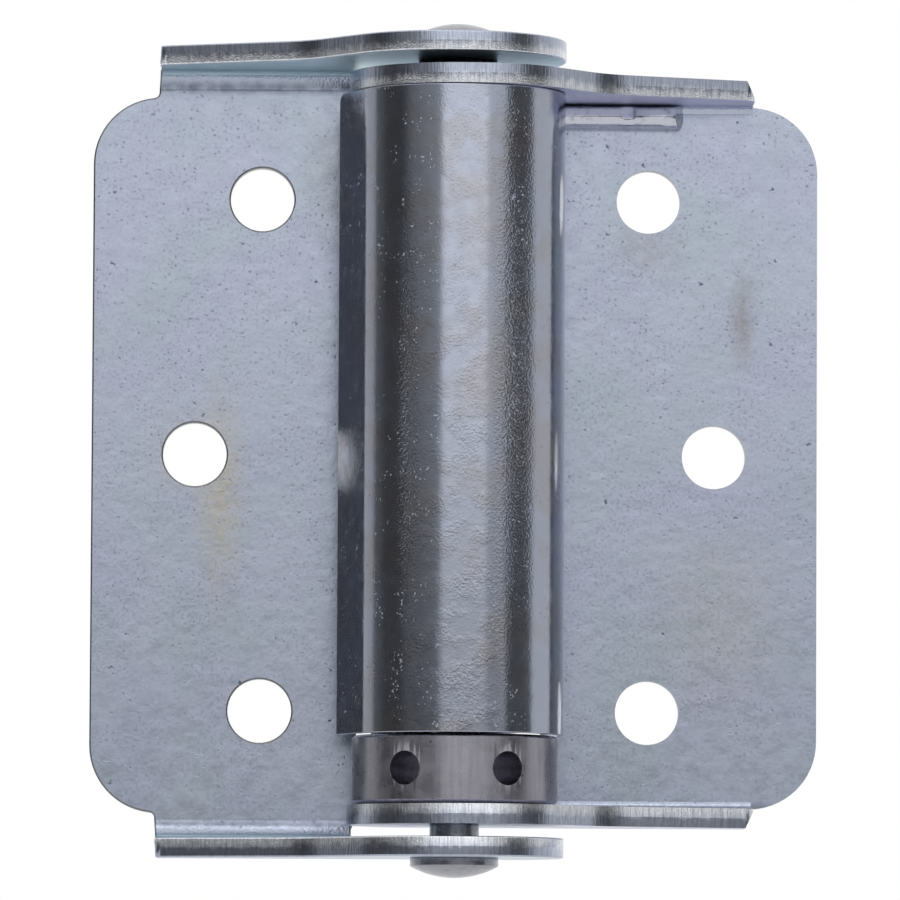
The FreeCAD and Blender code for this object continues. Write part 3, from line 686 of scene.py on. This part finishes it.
class HINGE_OT_spring(bpy.types.Operator):
    """Wind the torsion spring from round wire, in two halves"""

    bl_idname = "hinge.spring"
    bl_label = "Torsion spring"

    # Points of the wire's line in each turn, and in each short stretch of the leg and tail.
    STEPS = 40
    BEND_STEPS = 12
    # Where the tang goes down into the collar: the angle round the pin, how much nearer to
    # the pin than the coil, and the radius of the bend into it.
    TANG_ANGLE = 150.0
    TANG_INSET = 0.6
    TANG_BEND = 1.6

    def execute(self, context):
        sizes = context.scene.hinge_sizes
        low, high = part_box("torsion_spring")
        radius = sizes.wire / 2
        top = high.z - radius
        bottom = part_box("tension_collar")[1].z + sizes.coil_gap + radius
        count = math.floor((top - bottom) / (sizes.wire + sizes.coil_gap))
        self.coil_radius = high.y - PIN_AXIS.y - radius
        self.pitch = (top - bottom) / count
        half = count // 2
        colour = context.scene.hinge_colours.wire
        material = plated_rod("zinc_plated_wire", colour, roughness=0.15)

        leg = self.leg(sizes, high, top)
        line = leg + self.turns(top, count) + self.tail(bottom, low.z)
        join = len(leg) + half * self.STEPS
        upper_piece = wire_mesh("torsion_spring_upper", line, (0, join), radius)
        self.cut_leg(upper_piece.data, sizes, high, top)
        upper_piece.data.materials.append(material)
        lower_piece = wire_mesh("torsion_spring_lower", line, (join, len(line) - 1), radius)
        lower_piece.data.materials.append(material)

        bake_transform(lower_piece)
        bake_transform(upper_piece)
        for piece in (upper_piece, lower_piece):
            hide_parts("torsion_spring")
        return {"FINISHED"}

    def turns(self, level, count):
        """The coil's line down from the back at this level: left-handed, count turns."""
        line = []
        for step in range(count * self.STEPS + 1):
            angle = step / self.STEPS * math.tau
            across, back = -math.sin(angle), math.cos(angle)
            drop = Vector((0, 0, level - self.pitch * step / self.STEPS))
            line.append(PIN_AXIS + drop + Vector((across, back, 0)) * self.coil_radius)
        return line

    def leg(self, sizes, high, level):
        """The straight leg from its end to the coil, with close points round the notch."""
        reach = high.x - PIN_AXIS.x
        notch = reach - sizes.notch_inset
        stations = [reach, reach - sizes.wire]
        for step in range(self.BEND_STEPS + 1):
            stations.append(notch + sizes.notch_width * (0.5 - step / self.BEND_STEPS))
        stations.append(sizes.wire)
        return [PIN_AXIS + Vector((x, self.coil_radius, level)) for x in stations]

    def cut_leg(self, mesh, sizes, high, level):
        """Leans the leg's end as the shears left it, and presses in the notch."""
        radius = sizes.wire / 2
        notch = high.x - sizes.notch_inset
        centre = PIN_AXIS.y + self.coil_radius
        for vertex in mesh.vertices:
            place = vertex.co
            if place.x > high.x - radius:
                place.x -= (radius - (place.y - centre)) / sizes.wire * sizes.shear_slant
            # The notch is pressed into the wire's front, from a little below its middle up.
            share = abs(place.x - notch) / (sizes.notch_width / 2)
            if share < 1 and place.z > level - sizes.wire / 6 and place.y < centre:
                floor = centre - radius + sizes.notch_depth * math.sqrt(1 - share**2)
                place.y = max(place.y, floor)

    def tail(self, level, foot):
        """The tighter tail from the coil's last turn, and its bend down into the collar."""
        steps = self.BEND_STEPS
        bend = self.TANG_BEND * MM
        aside = math.radians(self.TANG_ANGLE)
        reach = self.coil_radius - self.TANG_INSET * MM
        tang = Vector((math.cos(aside), math.sin(aside), 0)) * reach
        ahead, inward = -tang.x, self.coil_radius - tang.y
        tail_radius = (ahead**2 + inward**2 - bend**2) / (inward * 2)
        turn = math.atan2(ahead, tail_radius - inward) - math.atan2(bend, tail_radius)
        centre = PIN_AXIS + Vector((0, self.coil_radius - tail_radius, level))
        line = []
        for step in range(1, steps + 1):
            angle = turn * step / steps
            line.append(centre + Vector((-math.sin(angle), math.cos(angle), 0)) * tail_radius)
        onward = Vector((-math.cos(turn), -math.sin(turn), 0))
        start = line[-1]
        for step in range(1, steps + 1):
            angle = math.pi / 2 * step / steps
            drop = Vector((0, 0, bend * (math.cos(angle) - 1)))
            line.append(start + onward * bend * math.sin(angle) + drop)
        line.append(Vector((line[-1].x, line[-1].y, foot)))
        return line


class HINGE_OT_stage(bpy.types.Operator):
    """Set the camera, the studio's light and the floor"""

    bl_idname = "hinge.stage"
    bl_label = "Studio"

    # The camera stands a little below the hinge's middle and looks up at it. Its aim is
    # measured from the pin's middle. Lengths are in millimetres and angles in degrees.
    CAMERA_DISTANCE = 1008.2
    CAMERA_LENS = 333.0
    CAMERA_SENSOR = 36.0
    AIM = (-0.74, 0.0, -0.13)
    PITCH, ROLL, YAW = 3.96, -0.29, 1.0
    # How far below the hinge the floor lies, and its size, in millimetres.
    FLOOR_DROP = 250.0
    FLOOR_SIZE = 3600.0

    # The studio seen from the hinge: degrees round from the camera's side, and brightness.
    BANDS = (
        (-180, 1.0),
        (-140, 0.8),
        (-116, 0.6),
        (-101, 0.48),
        (-97, 0.16),
        (-86, 0.1),
        (-82, 0.07),
        (-62, 0.07),
        (-50, 0.19),
        (-34, 0.27),
        (-20, 0.34),
        (-14, 1.0),
        (30, 1.0),
        (34, 0.66),
        (52, 0.62),
        (56, 0.1),
        (86, 0.11),
        (90, 0.68),
        (118, 0.7),
        (122, 0.88),
        (140, 0.92),
        (180, 1.0),
    )
    # In front, the light starts above the horizon, and the pale table lies below it, with a
    # dark gap between them. Both fade out between these degrees to either side.
    LIGHT_EDGE = (-0.01, 0.1)
    TABLE_EDGE = (-0.1, -0.05)
    GAP_LIGHT = 0.05
    FRONT_LIGHT = 1.2
    FRONT_SIDES = (40, 70)
    # Overhead and underneath, the studio is even. Edges are heights on a sphere of radius 1.
    OVERHEAD_EDGE = (0.25, 0.6)
    UNDER_EDGE = (-0.6, -0.2)
    UNDER_LIGHT = 0.7
    # How nearly straight backward a reflection points where it shows the white backdrop.
    BACKDROP_EDGE = (0.55, 0.9)

    # A softbox in front of the hinge and above it: its place from the pin's middle and its
    # size in millimetres, and its power in watts.
    SOFTBOX_PLACE = (20.0, -300.0, 300.0)
    SOFTBOX_SIZE = (320.0, 140.0)
    SOFTBOX_POWER = 0.18

    def execute(self, context):
        self.place_camera(context)
        self.lay_floor(context)
        self.light_studio(context)
        self.hang_softbox(context)
        context.scene.view_settings.view_transform = "Standard"
        return {"FINISHED"}

    def place_camera(self, context):
        yaw = Matrix.Rotation(math.radians(self.YAW), 3, "Z")
        roll = Matrix.Rotation(math.radians(-self.ROLL), 3, "Y")
        pitch = Matrix.Rotation(math.radians(-self.PITCH), 3, "X")
        to_camera = pitch @ roll @ yaw
        to_world = to_camera.transposed()
        right, ahead, up = (to_world @ Vector(axis) for axis in ((1, 0, 0), (0, 1, 0), (0, 0, 1)))
        lens = bpy.data.cameras.new("photo_camera")
        lens.lens = self.CAMERA_LENS
        lens.sensor_width = self.CAMERA_SENSOR
        camera = bpy.data.objects.new("photo_camera", lens)
        turn = Matrix((right, up, -ahead)).transposed()
        place = PIN_AXIS + Vector(self.AIM) * MM - ahead * self.CAMERA_DISTANCE * MM
        camera.matrix_world = Matrix.Translation(place) @ turn.to_4x4()
        context.scene.collection.objects.link(camera)
        context.scene.camera = camera

    def lay_floor(self, context):
        mesh = bpy.data.meshes.new("studio_floor")
        half = self.FLOOR_SIZE * MM / 2
        level = CAD_BOX[0][2] - self.FLOOR_DROP * MM
        sides = ((-half, -half), (half, -half), (half, half), (-half, half))
        mesh.from_pydata([(x, y, level) for x, y in sides], [], [(0, 1, 2, 3)])
        floor = bpy.data.objects.new("studio_floor", mesh)
        # Matt paper: it shows the hinge's shadow and no gloss.
        paper = {"Roughness": 0.9, "Base Color": context.scene.hinge_colours.floor}
        mesh.materials.append(new_material("studio_paper", paper)[0])
        context.scene.collection.objects.link(floor)

    def hang_softbox(self, context):
        light = bpy.data.lights.new("softbox", "AREA")
        light.shape = "RECTANGLE"
        light.size, light.size_y = (length * MM for length in self.SOFTBOX_SIZE)
        light.energy = self.SOFTBOX_POWER
        lamp = bpy.data.objects.new("softbox", light)
        place = PIN_AXIS + Vector(self.SOFTBOX_PLACE) * MM
        lamp.location = place
        lamp.rotation_euler = (PIN_AXIS - place).to_track_quat("-Z", "Y").to_euler()
        context.scene.collection.objects.link(lamp)

    def light_studio(self, context):
        world = bpy.data.worlds.new("studio")
        context.scene.world = world
        world.use_nodes = True
        tree = world.node_tree
        tree.nodes.clear()
        direction = add(tree, "TexCoord", {}, "Generated")
        parts = add(tree, "SeparateXYZ", {0: direction}).node.outputs
        toward = add(tree, "Math", {"operation": "MULTIPLY", 0: parts["Y"], 1: -1.0})
        angle = add(tree, "Math", {"operation": "ARCTAN2", 0: parts["X"], 1: toward})
        along = add(tree, "MapRange", {"Value": angle, "From Min": -math.pi, "From Max": math.pi})
        bands = add(tree, "ValToRGB", {"Fac": along})
        stops = bands.node.color_ramp.elements
        for degrees, level in self.BANDS[1:-1]:
            stops.new((degrees + 180) / 360).color = (level, level, level, 1.0)
        for stop, (_, level) in ((stops[0], self.BANDS[0]), (stops[-1], self.BANDS[-1])):
            stop.color = (level, level, level, 1.0)

        smooth = {"interpolation_type": "SMOOTHSTEP"}
        height, backward = parts["Z"], parts["Y"]
        dark, bright = self.LIGHT_EDGE
        ends = {"To Min": self.GAP_LIGHT, "To Max": self.FRONT_LIGHT}
        light = {**smooth, "Value": height, "From Min": dark, "From Max": bright, **ends}
        light = add(tree, "MapRange", light)
        bright, dark = self.TABLE_EDGE
        ends = {"To Min": self.FRONT_LIGHT, "To Max": 0.0}
        table = {**smooth, "Value": height, "From Min": bright, "From Max": dark, **ends}
        table = add(tree, "MapRange", table)
        front = add(tree, "Math", {"operation": "MAXIMUM", 0: light, 1: table})
        aside = add(tree, "Math", {"operation": "ABSOLUTE", 0: angle})
        near, far = (math.radians(degrees) for degrees in self.FRONT_SIDES)
        aside = {**smooth, "Value": aside, "From Min": near, "From Max": far}
        aside = add(tree, "MapRange", aside)
        front = add(tree, "Mix", {"Factor": aside, 2: front, 3: 1.0})
        level = add(tree, "Math", {"operation": "MULTIPLY", 0: bands, 1: front})
        low, high = self.OVERHEAD_EDGE
        overhead = {**smooth, "Value": height, "From Min": low, "From Max": high}
        overhead = add(tree, "MapRange", overhead)
        level = add(tree, "Mix", {"Factor": overhead, 2: level, 3: 1.0})
        low, high = self.UNDER_EDGE
        under = {**smooth, "Value": height, "From Min": low, "From Max": high}
        under = add(tree, "MapRange", {**under, "To Min": 1.0, "To Max": 0.0})
        level = add(tree, "Mix", {"Factor": under, 2: level, 3: self.UNDER_LIGHT})

        # The white backdrop behind the hinge is seen by the camera, and in metal from behind.
        rays = add(tree, "LightPath", {}).node.outputs
        glossy, clear = rays["Is Glossy Ray"], rays["Is Transmission Ray"]
        mirrored = add(tree, "Math", {"operation": "MAXIMUM", 0: glossy, 1: clear})
        low, high = self.BACKDROP_EDGE
        behind = {**smooth, "Value": backward, "From Min": low, "From Max": high}
        behind = add(tree, "MapRange", behind)
        mirrored = add(tree, "Math", {"operation": "MULTIPLY", 0: mirrored, 1: behind})
        shown = {"operation": "MAXIMUM", 0: rays["Is Camera Ray"], 1: mirrored}
        level = add(tree, "Mix", {"Factor": add(tree, "Math", shown), 2: level, 3: 1.0})
        studio = add(tree, "Background", {"Color": level})
        add(tree, "OutputWorld", {"Surface": studio})


class HINGE_PT_panel(bpy.types.Panel):
    bl_label = "Spring hinge"
    bl_idname = "HINGE_PT_panel"
    bl_space_type = "VIEW_3D"
    bl_region_type = "UI"
    bl_category = "Hinge"

    def draw(self, context):
        for operator in OPERATORS:
            self.layout.operator(operator.bl_idname)
        for group in (context.scene.hinge_sizes, context.scene.hinge_colours):
            for name in group.__annotations__:
                self.layout.prop(group, name)


OPERATORS = (
    HINGE_OT_leaves,
    HINGE_OT_cover,
    HINGE_OT_collar,
    HINGE_OT_pin,
    HINGE_OT_spring,
    HINGE_OT_stage,
)
CLASSES = (HingeSizes, HingeColours, *OPERATORS, HINGE_PT_panel)


def register():
    for entry in CLASSES:
        bpy.utils.register_class(entry)
    bpy.types.Scene.hinge_sizes = bpy.props.PointerProperty(type=HingeSizes)
    bpy.types.Scene.hinge_colours = bpy.props.PointerProperty(type=HingeColours)


def unregister():
    del bpy.types.Scene.hinge_colours
    del bpy.types.Scene.hinge_sizes
    for entry in reversed(CLASSES):
        bpy.utils.unregister_class(entry)


def main():
    register()
    bpy.ops.hinge.leaves()
    bpy.ops.hinge.cover()
    bpy.ops.hinge.collar()
    bpy.ops.hinge.pin()
    bpy.ops.hinge.spring()
    bpy.ops.hinge.stage()


if __name__ == "__main__":
    main()
